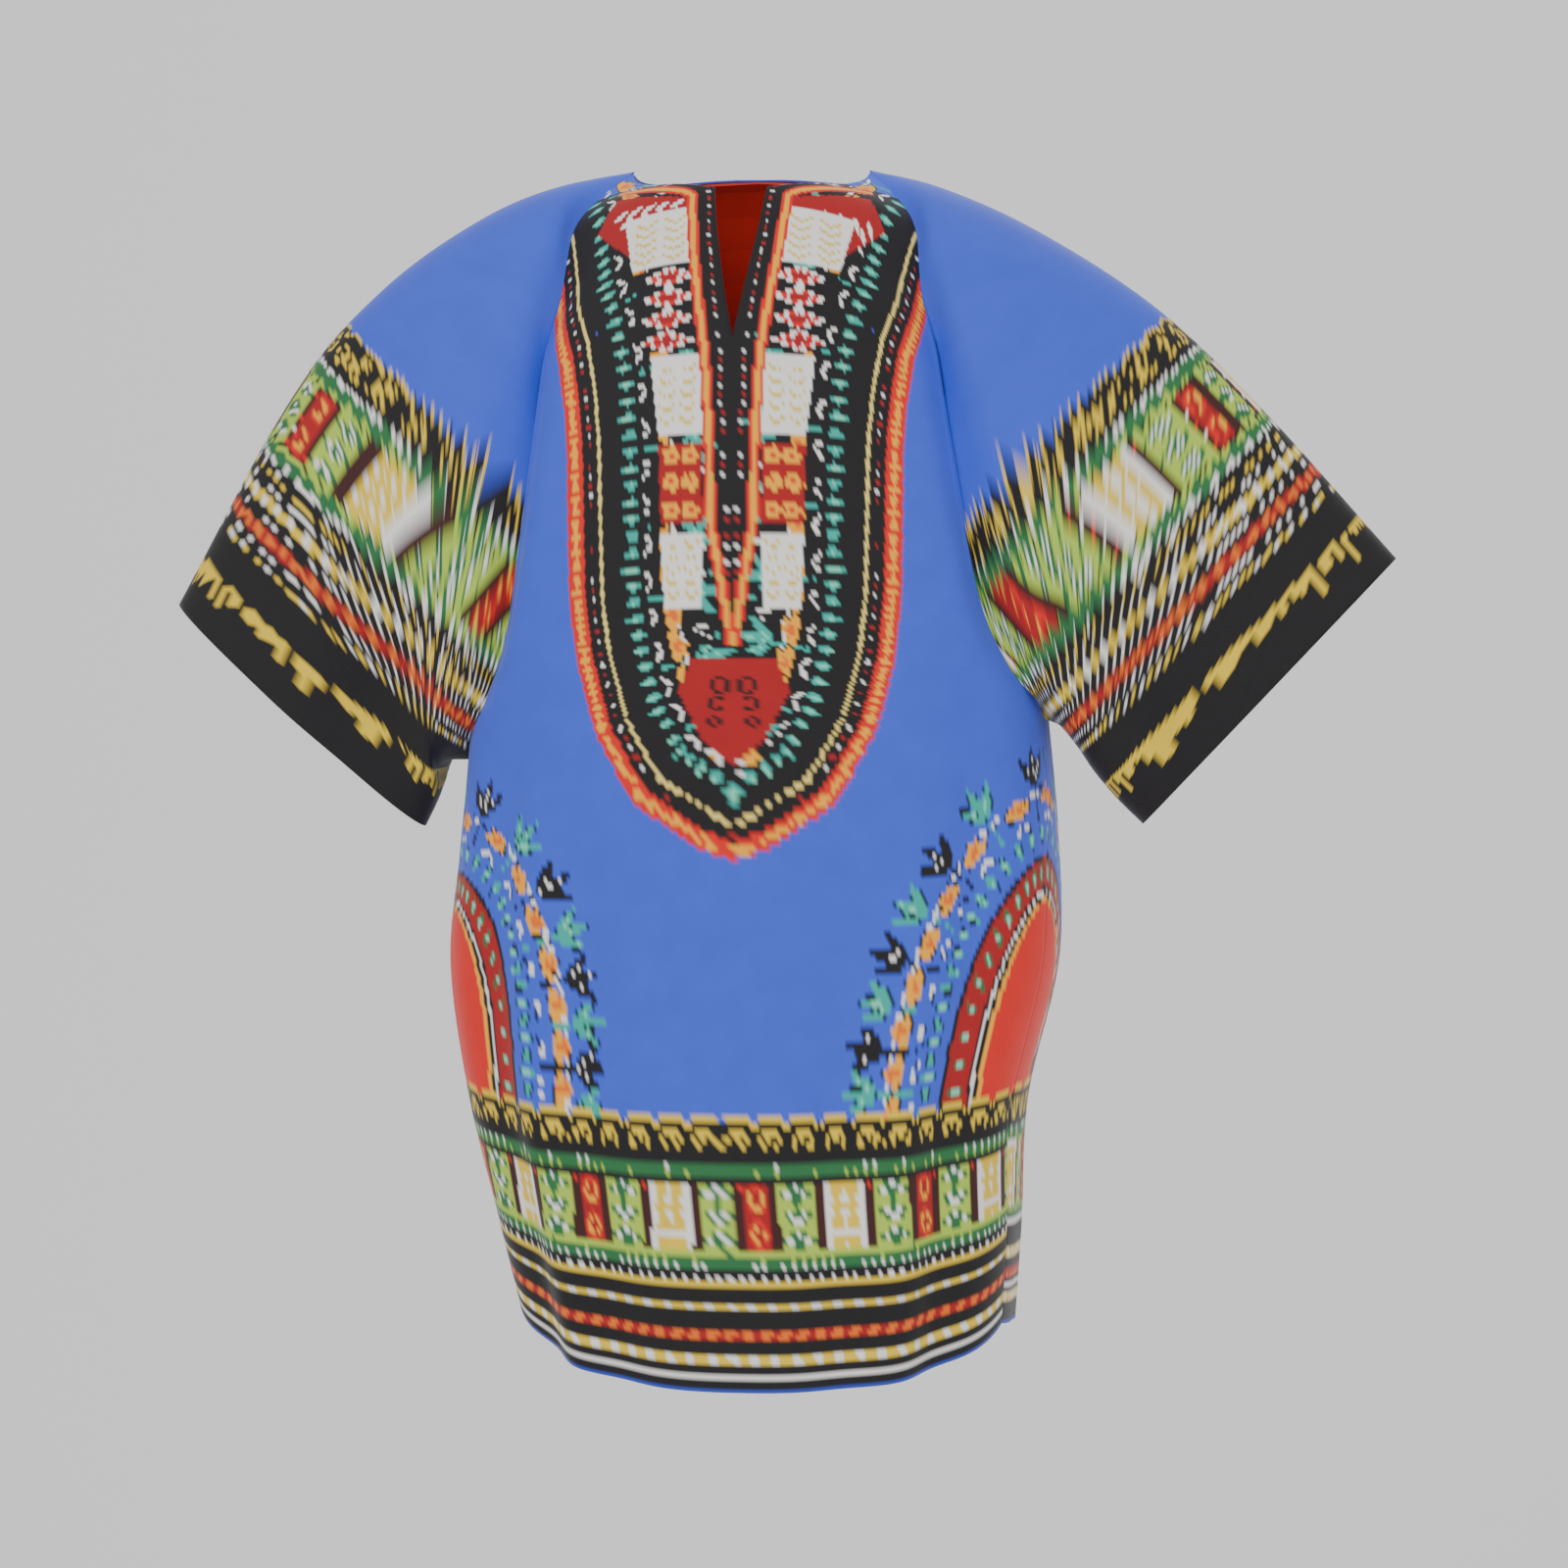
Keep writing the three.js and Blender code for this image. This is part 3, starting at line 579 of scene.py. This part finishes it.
# Plain-woven cotton: the ink with slight unevenness, a fine weave in the bump, a soft
# sheen. The wrong side is the same print, paler.
def cotton(name, fade):
    material = bpy.data.materials.new(name)
    material.use_nodes = True
    nodes, links = material.node_tree.nodes, material.node_tree.links
    shader = nodes["Principled BSDF"]
    shader.inputs["Roughness"].default_value = 0.72
    shader.inputs["Sheen Weight"].default_value = 0.18
    shader.inputs["Sheen Roughness"].default_value = 0.4
    shader.inputs["Specular IOR Level"].default_value = 0.35
    inks = nodes.new("ShaderNodeVertexColor")
    inks.layer_name = "print"
    cloth = nodes.new("ShaderNodeUVMap")
    cloth.uv_map = "cloth"
    uneven = nodes.new("ShaderNodeTexNoise")
    uneven.inputs["Scale"].default_value = 45
    uneven.inputs["Detail"].default_value = 5
    links.new(cloth.outputs["UV"], uneven.inputs["Vector"])
    level = nodes.new("ShaderNodeMapRange")
    level.inputs["To Min"].default_value = 0.9
    level.inputs["To Max"].default_value = 1.08
    links.new(uneven.outputs["Fac"], level.inputs["Value"])
    tone = nodes.new("ShaderNodeHueSaturation")
    tone.inputs["Saturation"].default_value = 1.0 - 0.5 * fade
    links.new(inks.outputs["Color"], tone.inputs["Color"])
    links.new(level.outputs["Result"], tone.inputs["Value"])
    pale = nodes.new("ShaderNodeMix")
    pale.data_type = "RGBA"
    pale.inputs[0].default_value = fade
    pale.inputs[7].default_value = (0.75, 0.74, 0.72, 1)
    links.new(tone.outputs["Color"], pale.inputs[6])
    links.new(pale.outputs[2], shader.inputs["Base Color"])
    heights = []
    for axis in ("X", "Y"):
        thread = nodes.new("ShaderNodeTexWave")
        thread.bands_direction = axis
        thread.inputs["Scale"].default_value = 480
        thread.inputs["Distortion"].default_value = 0.6
        links.new(cloth.outputs["UV"], thread.inputs["Vector"])
        heights.append(thread)
    weave = nodes.new("ShaderNodeMath")
    weave.operation = "ADD"
    links.new(heights[0].outputs["Fac"], weave.inputs[0])
    links.new(heights[1].outputs["Fac"], weave.inputs[1])
    bumps = nodes.new("ShaderNodeBump")
    bumps.inputs["Strength"].default_value = 0.12
    bumps.inputs["Distance"].default_value = 0.0004
    links.new(weave.outputs["Value"], bumps.inputs["Height"])
    links.new(bumps.outputs["Normal"], shader.inputs["Normal"])
    return material


printed_cotton = cotton("printed_cotton", 0.0)
wrong_side = cotton("printed_cotton_wrong_side", 0.45)
WALL = 0.0012

# ---------------------------------------------------------------- front
# The front is one piece of printed cotton, cut with a slit from the neck. Its print has a
# bordered plastron at the slit with a garland, an arch at each side seam and the striped
# border along the hem.
front_map = PanelMap("front")


def hem_spot(panel_map):
    return lambda across, up: (across, panel_map.length - up)


# half widths of the plastron's outer edge at distances down the cloth
PLASTRON = [(112, 30), (104, 62), (99, 90), (95, 112), (85, 145), (79, 180), (76, 215), (75, 260),
            (74, 310), (70, 345), (60, 385), (40, 420), (0, 446)]


def mirrored(path):
    right = [(x, y) for x, y in path]
    left = [(-x, y) for x, y in reversed(path[:-1])]
    return right + left


def garland(drawing, path):
    """Drops, flowers and leaf sprigs beside a path."""
    for x, y, dx, dy in along(path, 10.4):
        nx, ny = -dy, dx
        turn = math.atan2(ny, nx)
        drawing.leaf(x + 5.0 * nx, y + 5.0 * ny, 14, 7.0, turn, BLACK, 0.62)
        drawing.leaf(x + 5.8 * nx, y + 5.8 * ny, 12.4, 5.4, turn, TEAL, 0.62)
        drawing.leaf(x + 8.2 * nx, y + 8.2 * ny, 8.0, 2.2, turn, MINT, 0.6)
    spots = along(path, 11.7)
    for k, (x, y, dx, dy) in enumerate(spots):
        nx, ny = -dy, dx
        turn = math.atan2(ny, nx)
        if k % 2:
            cx, cy = x + 35 * nx, y + 35 * ny
            for petal in range(5):
                a = turn + math.radians(-64 + 32 * petal)
                drawing.leaf(cx - 5 * nx, cy - 5 * ny, 13.5, 6.6, a, BLACK, 0.6)
            for petal in range(5):
                a = turn + math.radians(-64 + 32 * petal)
                drawing.leaf(cx - 4.4 * nx, cy - 4.4 * ny, 12.2, 5.4, a, AMBER, 0.6)
            for petal in range(3):
                a = turn + math.radians(-34 + 34 * petal)
                drawing.leaf(cx - 3 * nx, cy - 3 * ny, 8.6, 2.4, a, ORANGE, 0.5)
            for side in (-1, 1):
                a = turn + side * 2.3
                drawing.leaf(cx - 9 * nx, cy - 9 * ny, 9, 3.6, a, BLACK, 0.5)
                drawing.leaf(cx - 9 * nx, cy - 9 * ny, 8.4, 2.8, a, WHITE, 0.5)
        else:
            main, vein = ((TEAL, MINT), (BLACK, WHITE))[(k // 2) % 2]
            stem = [(x + 24 * nx, y + 24 * ny), (x + 47 * nx, y + 47 * ny)]
            ribbon(drawing, stem, -0.9, 0.9, main, 12)
            drawing.round(x + 24 * nx, y + 24 * ny, 1.8, 1.8, main, sides=8)
            bx, by = x + 44 * nx, y + 44 * ny
            for side in (-1, 0, 1):
                a = turn + side * 0.62
                long = 25 if side == 0 else 23
                drawing.leaf(bx, by, long + 1.2, 8.2, a, BLACK, 0.45)
                drawing.leaf(bx + nx * 0.5, by + ny * 0.5, long, 6.6, a, main, 0.45)
                drawing.leaf(bx + 2 * nx, by + 2 * ny, long - 6, 1.1, a, vein, 0.5)
            for side in (-1, 1):
                a = turn + side * 1.25
                drawing.leaf(x + 38 * nx, y + 38 * ny, 9.5, 3.6, a, BLACK, 0.5)
                drawing.leaf(x + 38 * nx, y + 38 * ny, 8.8, 2.8, a, WHITE, 0.5)


def plastron(drawing, path):
    """Nested borders beside the path, at negative distances."""
    ribbon(drawing, path, -6, 0, BLACK)
    ribbon(drawing, path, -8, -6, PALE)
    ribbon(drawing, path, -18, -8, BLACK)
    dots(drawing, path, -13, 1.3, [WHITE, DARK_RED], 6.5)
    ribbon(drawing, path, -29, -18, RED)
    teeth(drawing, path, -23.5, -20, AMBER, 5)
    teeth(drawing, path, -23.5, -27, AMBER, 5)


def front_print():
    drawing = Drawing()
    path = mirrored(PLASTRON)
    drawing.shape(path, BLACK)
    garland(drawing, path)
    plastron(drawing, path)
    column_blocks(drawing)
    for side in (-1, 1):
        side_arch(drawing, side, front_map)
    rows_of_band(drawing, hem_spot(front_map), -260, 260)
    return drawing


def column_blocks(drawing):
    """Two columns of blocks inside the borders, and the dotted placket between them."""
    bands = [(66, 108, "chevron"), (108, 164, "lozenge"), (166, 216, "chevron"),
             (220, 270, "flower"), (274, 322, "chevron")]
    for side in (-1, 1):
        drawing.shape([(side * 80, 46), (side * 32, 60), (side * 34, 72), (side * 66, 96),
                       (side * 92, 66)], DARK_RED)
        for k in range(9):
            drawing.leaf(side * (44 + 4.6 * k), 66 - 0.2 * k + 6 * (k % 2), 12, 3.4, side * 0.9 + 0.4, WHITE)
        for low, high, kind in bands:
            outer_low = float(np.interp(low, [y for _, y in PLASTRON], [x for x, _ in PLASTRON])) - 31
            outer_high = float(np.interp(high, [y for _, y in PLASTRON], [x for x, _ in PLASTRON])) - 31
            in_low = 30 - 12 * min(1, (low - 60) / 130)
            in_high = 30 - 12 * min(1, (high - 60) / 130)
            corners = [(side * in_low, low + 1), (side * outer_low, low + 1),
                       (side * outer_high, high - 1), (side * in_high, high - 1)]
            ground = {"chevron": WHITE, "lozenge": BLACK, "flower": DARK_RED}[kind]
            drawing.shape(corners, ground)
            mid_x = side * (in_low + outer_low + in_high + outer_high) / 4
            half = (outer_low + outer_high - in_low - in_high) / 4
            if kind == "chevron":
                for line in range(5):
                    y = low + 6 + line * (high - low - 10) / 5
                    for half_side in (-1, 1):
                        x = mid_x + half_side * half * 0.45
                        w = half * 0.34
                        drawing.shape([(x - w, y), (x, y + 4), (x + w, y), (x + w, y + 2),
                                       (x, y + 6), (x - w, y + 2)], YELLOW)
            elif kind == "lozenge":
                for cell in range(4):
                    y = low + (high - low) * (cell + 0.5) / 4
                    for ratio, colour in ((1.0, WHITE), (0.78, RED), (0.6, WHITE), (0.5, DARK_RED)):
                        tall = (high - low) / 8 * ratio
                        drawing.shape([(mid_x - half * ratio, y), (mid_x, y - tall),
                                       (mid_x + half * ratio, y), (mid_x, y + tall)], colour)
            else:
                for cell in range(3):
                    for half_side in (-1, 1):
                        cx = mid_x + half_side * half * 0.45
                        cy = low + (high - low) * (cell + 0.5) / 3
                        for petal in range(5):
                            a = petal * 2 * math.pi / 5
                            drawing.round(cx + 3.6 * math.cos(a), cy + 3.6 * math.sin(a), 2.4, 2.4,
                                          AMBER, sides=8)
                        drawing.round(cx, cy, 1.8, 1.8, RED, sides=8)
        inner_edge = [(side * x, y) for x, y in
                      ((80, 36), (30, 56), (26, 100), (17, 165), (14, 215), (13, 270), (0, 345))]
        for low_w, high_w, colour in ((-3.5, 3.5, RED), (-1.6, 1.6, AMBER)):
            ribbon(drawing, inner_edge, low_w, high_w, colour)
        column = [(side * x, y) for x, y in ((66, 34), (20, 52), (17, 90), (8, 160), (5, 230), (3, 300))]
        dots(drawing, column, 0, 1.2, [WHITE, DARK_RED], 5.4)
    drawing.shape([(-26, 352), (26, 352), (34, 372), (20, 400), (0, 418), (-20, 400), (-34, 372)], DARK_RED)
    for side in (-1, 1):
        for ring in range(3):
            drawing.round(side * (8 + 2 * ring), 368 + 11 * ring, 6 - ring, 6 - ring, BLACK)
            drawing.round(side * (8 + 2 * ring), 368 + 11 * ring, 4 - ring, 4 - ring, DARK_RED)


def side_arch(drawing, side, panel_map):
    """Half an arch against a side seam, above the hem border."""
    edge = float(panel_map.half_width(panel_map.length - 230))
    base = panel_map.length - BORDER_HEIGHT
    width, tall = 72, 150
    outer = []
    for k in range(13):
        a = math.pi / 2 * k / 12
        outer.append((side * (edge - width * math.cos(a)), base - tall * math.sin(a)))
    outer.append((side * (edge + 20), base - tall))
    dome = outer + [(side * (edge + 20), base)]
    drawing.shape(dome, DARK_RED)
    garland(drawing, outer if side < 0 else outer[::-1])
    for inset, colour in ((0.0, BLACK), (3.0, DARK_RED), (20.0, BLACK), (22.0, WHITE), (24.0, BLACK),
                          (27.0, AMBER), (30.0, RED)):
        loop = []
        for k in range(13):
            a = math.pi / 2 * k / 12
            loop.append((side * (edge - (width - inset) * math.cos(a)), base - (tall - inset) * math.sin(a)))
        loop += [(side * (edge + 20), base - tall + inset), (side * (edge + 20), base)]
        drawing.shape(loop, colour)
    for k in range(12):
        a = math.pi / 2 * (k + 0.5) / 12
        cx, cy = side * (edge - (width - 11) * math.cos(a)), base - (tall - 11) * math.sin(a)
        turn = math.atan2(-(tall) * math.sin(a), -side * width * math.cos(a))
        back_x, back_y = math.cos(turn + math.pi), math.sin(turn + math.pi)
        drawing.leaf(cx + 6 * back_x, cy + 6 * back_y, 12, 5, turn, GREEN, 0.5)
        drawing.leaf(cx + 5 * back_x, cy + 5 * back_y, 9, 2.6, turn, MINT, 0.5)


front_drawing = front_print()
front = printed_cloth("front_cloth", *panel_grid(front_map, 300, 112), front_drawing, BLUE, WALL,
                      "printed_cotton")
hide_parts("front")

back_map = PanelMap("back")
back_drawing = Drawing()
for arch in (-1, 1):
    side_arch(back_drawing, arch, back_map)
rows_of_band(back_drawing, hem_spot(back_map), -280, 280)
back = printed_cloth("back_cloth", *panel_grid(back_map, 260, 110), back_drawing, BLUE, WALL,
                     "printed_cotton")
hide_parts("back")

# ---------------------------------------------------------------- sleeves
# Each sleeve is one piece of printed cotton, wide and straight, seamed under the arm and
# set in along a seam from the neck point to the underarm. The border runs round the cuff.
STATION_COLUMNS = "topX topY topZ lowX lowY lowZ front back full".split()
SLEEVES = {
    "right": (1, [
        (118, 2, -11, 197, -8, -345, 70, 92, 2.7),
        (178, 2, -38, 207, -8, -358, 66, 84, 2.5),
        (252, 0, -86, 216, -13, -371, 54, 66, 2.3),
        (320, -3, -151, 230, -11, -388, 44, 50, 2.2),
        (400, -6, -240, 246, -8, -404, 36, 36, 2.1),
    ]),
    "left": (-1, [
        (116, 2, -8, 194, -8, -368, 70, 92, 2.7),
        (168, 2, -28, 197, -8, -377, 66, 84, 2.5),
        (232, 0, -72, 196, -13, -384, 56, 66, 2.3),
        (290, -3, -138, 200, -11, -395, 46, 50, 2.2),
        (364, -6, -270, 207, -8, -409, 36, 36, 2.1),
    ]),
}
# share of the way round, lean, from ring, to ring, width and depth of each fold
SLEEVE_FOLDS = {
    "right": [(0.33, 0.02, 0.6, 4.6, 0.045, -9), (0.2, 0.05, -0.5, 3.4, 0.05, 6),
              (0.7, -0.03, 0.5, 4.5, 0.05, -8)],
    "left": [(0.31, 0.0, 0.4, 4.8, 0.05, -11), (0.25, 0.0, 0.6, 5.0, 0.04, 7),
             (0.72, 0.03, 0.5, 4.5, 0.05, -8)],
}

CUFF_ROUND = 490  # distance taken as once round a cuff
CUFF_LIFT = 38  # how far the border stands above the cuff's edge


def sleeve_grid(name, along_count):
    """A sleeve as flat places, places on the form, and faces."""
    side, stations = SLEEVES[name]
    arm_rows = np.linspace(SHOULDER_START, UNDERARM_ROW, 56)
    front_edge = body_point(arm_rows, edge_angle(arm_rows, "front"), side, "front")
    back_edge = body_point(arm_rows, edge_angle(arm_rows, "back"), side, "back")
    top = np.array([[side * NECK_HALF_WIDTH, 0, 0]])
    ring = np.concatenate([top, front_edge, back_edge[:-1][::-1]])
    count = len(ring)
    half = count // 2
    steps = np.linalg.norm(np.roll(ring, -1, axis=0) - ring, axis=1)
    run = np.concatenate([[0], np.cumsum(steps)])
    fraction = np.where(np.arange(count) <= half, 0.5 * run[:-1] / run[half],
                        0.5 + 0.5 * (run[:-1] - run[half]) / (run[-1] - run[half]))
    rings = [ring]
    for values in stations:
        s = dict(zip(STATION_COLUMNS, values))
        turn = 2 * math.pi * fraction
        power = 2 / s["full"]
        lengthwise = np.sign(np.cos(turn)) * np.abs(np.cos(turn)) ** power
        across = np.sign(np.sin(turn)) * np.abs(np.sin(turn)) ** power
        mix = [(s["top" + a] + s["low" + a]) / 2 + lengthwise * (s["top" + a] - s["low" + a]) / 2
               for a in "XYZ"]
        depth = np.where(across > 0, s["front"], s["back"])
        rings.append(np.stack([side * mix[0], mix[1] - depth * across, mix[2]], axis=1))
    rings = np.array(rings)
    at = np.linspace(0, 5, along_count)
    spots = np.zeros((along_count, count, 3))
    for k in range(count):
        for axis in range(3):
            spots[:, k, axis] = spline(rings[:, k, axis], at)
    rows_round = np.array([0.0] + list(arm_rows) + list(arm_rows[:-1][::-1]))
    reach = np.linalg.norm(spots - ring[None], axis=2)
    out = -VALLEY_DEPTH * 0.6 * bump(reach / (2 * VALLEY_REACH)) * valley_at(rows_round, "front")[None, :]
    out = np.where(fraction[None, :] < 0.46, out, 0)
    for middle, lean, start, end, width, depth in SLEEVE_FOLDS[name]:
        fade = ramp(start, start + 1.2, at) * (1 - ramp(end - 0.8, end + 0.6, at)) * np.minimum(1, at)
        place = middle + lean * at / 5
        out = out + depth * fade[:, None] * bump((fraction[None, :] - place[:, None]) / width)
    across = np.sin(2 * math.pi * fraction)
    out[0] = 0
    spots[:, :, 1] -= (np.sign(across) * np.minimum(1, np.abs(across) * 2))[None, :] * out
    top_cuff, low_cuff = rings[-1, 0], rings[-1, half]
    cuff = (top_cuff - low_cuff) / np.linalg.norm(top_cuff - low_cuff)
    axis = np.array([-cuff[2] * side, 0, cuff[0] * side])
    axis *= -1 if axis[2] < 0 else 1
    up = (spots - top_cuff) @ axis
    around = np.repeat((fraction * CUFF_ROUND)[None, :], along_count, axis=0)
    faces = []
    for i in range(along_count - 1):
        for k in range(count):
            n = (k + 1) % count
            corners = [i * count + k, i * count + n, (i + 1) * count + n, (i + 1) * count + k]
            faces.append(corners if side > 0 else corners[::-1])
    flat = np.stack([around.ravel(), up.ravel()], axis=1)
    return flat, spots.reshape(-1, 3), faces


def cuff_print():
    """The border round a cuff, above a black edge with yellow brush strokes."""
    drawing = Drawing()
    start, end = -10, CUFF_ROUND + 10
    rows_of_band(drawing, lambda across, up: (across, up + CUFF_LIFT), start, end)
    drawing.shape([(start, -20), (end, -20), (end, 58), (start, 58)], BLACK)
    x = 0.0
    k = 0
    while x < CUFF_ROUND:
        tall = 34 - 8 - 5 * math.sin(k * 2.4)
        drawing.shape([(x, 34), (x + 3, 34), (x + 1.5, tall - 6)], YELLOW)
        x += 3
        k += 1
    return drawing


for arm in ("right", "left"):
    sleeve = printed_cloth(f"sleeve_{arm}_cloth", *sleeve_grid(arm, 200), cuff_print(), BLUE,
                           WALL, "printed_cotton")
    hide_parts(f"sleeve_{arm}")

# ---------------------------------------------------------------- back neck facing
# A shaped piece of plain red cotton, sewn inside the back neck.
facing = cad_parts["back_neck_facing"]
red = bpy.data.materials.new("red_cotton")
red.use_nodes = True
red_shader = red.node_tree.nodes["Principled BSDF"]
red_shader.inputs["Base Color"].default_value = ink(RED)
red_shader.inputs["Roughness"].default_value = 0.75
weave_noise = red.node_tree.nodes.new("ShaderNodeTexNoise")
weave_noise.inputs["Scale"].default_value = 900
red_bump = red.node_tree.nodes.new("ShaderNodeBump")
red_bump.inputs["Strength"].default_value = 0.2
red_bump.inputs["Distance"].default_value = 0.0003
red_place = red.node_tree.nodes.new("ShaderNodeTexCoord")
red.node_tree.links.new(red_place.outputs["Object"], weave_noise.inputs["Vector"])
red.node_tree.links.new(weave_noise.outputs["Fac"], red_bump.inputs["Height"])
red.node_tree.links.new(red_bump.outputs["Normal"], red_shader.inputs["Normal"])
for slot in facing.material_slots:
    slot.material = red
